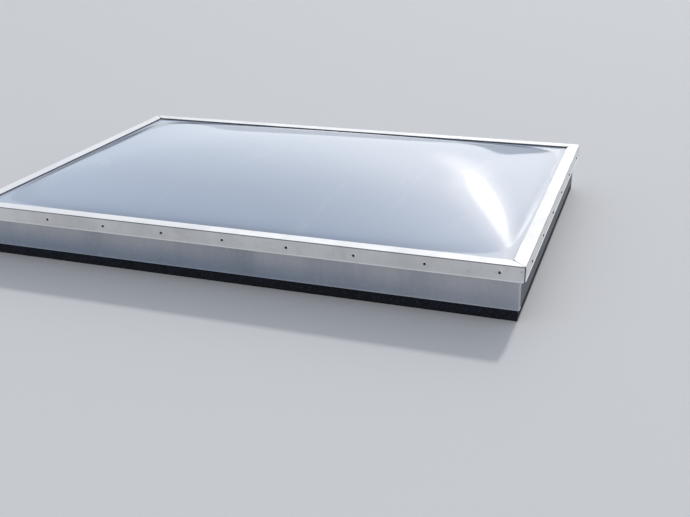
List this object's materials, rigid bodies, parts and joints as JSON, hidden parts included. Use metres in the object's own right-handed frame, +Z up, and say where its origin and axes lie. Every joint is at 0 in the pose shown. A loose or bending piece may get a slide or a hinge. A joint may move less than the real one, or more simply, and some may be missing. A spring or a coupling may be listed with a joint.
{
  "type": "roof skylight",
  "caption": "Fixed rectangular roof skylight with a blown double dome, mitred metal retainer, folded cladding and a timber curb with a felt upstand.",
  "frame": {"origin": "middle of the curb's underside, where it stands on the roof deck", "axes": "+X along the long side, +Y from the front long side towards the back, +Z up out of the roof"},
  "size_m": [1.9322, 1.2722, 0.255],
  "materials": {
    "outer_acrylic": "polished opal acrylic, lightly weathered",
    "inner_acrylic": "polished clear to opal acrylic",
    "retainer_aluminium": "mill finish, weathered",
    "frame_aluminium": "mill finish",
    "rivet_aluminium": "satin",
    "stainless_steel": "satin",
    "zinc_plated_steel": "dull zinc plating",
    "cladding_sheet": "dull, weathered grey",
    "roofing_felt": "bitumen felt with mineral granules",
    "curb_timber": "sawn softwood",
    "sealing_tape": "soft sealing tape",
    "spacer_rubber": "matt rubber",
    "gasket_rubber": "matt rubber",
    "washer_rubber": "matt rubber"
  },
  "bodies": {
    "root": {"cladding_back": "cladding_sheet", "cladding_front": "cladding_sheet", "cladding_left": "cladding_sheet", "cladding_nails": "zinc_plated_steel", "cladding_right": "cladding_sheet", "corner_key_back_left": "frame_aluminium", "corner_key_back_right": "frame_aluminium", "corner_key_front_left": "frame_aluminium", "corner_key_front_right": "frame_aluminium", "corner_rivets": "rivet_aluminium", "curb_board_back": "curb_timber", "curb_board_front": "curb_timber", "curb_board_left": "curb_timber", "curb_board_right": "curb_timber", "curb_gasket": "gasket_rubber", "curb_screws": "zinc_plated_steel", "dome_spacer": "spacer_rubber", "felt_upstand_back": "roofing_felt", "felt_upstand_front": "roofing_felt", "felt_upstand_left": "roofing_felt", "felt_upstand_right": "roofing_felt", "frame_screws": "stainless_steel", "glazing_gasket": "gasket_rubber", "glazing_tape": "sealing_tape", "inner_dome": "inner_acrylic", "inner_frame_back": "frame_aluminium", "inner_frame_front": "frame_aluminium", "inner_frame_left": "frame_aluminium", "inner_frame_right": "frame_aluminium", "outer_dome": "outer_acrylic", "retainer_back": "retainer_aluminium", "retainer_front": "retainer_aluminium", "retainer_left": "retainer_aluminium", "retainer_right": "retainer_aluminium", "retainer_screws_back": "stainless_steel", "retainer_screws_front": "stainless_steel", "retainer_screws_left": "stainless_steel", "retainer_screws_right": "stainless_steel", "screw_washers_back": "washer_rubber", "screw_washers_front": "washer_rubber", "screw_washers_left": "washer_rubber", "screw_washers_right": "washer_rubber"}
  },
  "joints": []
}
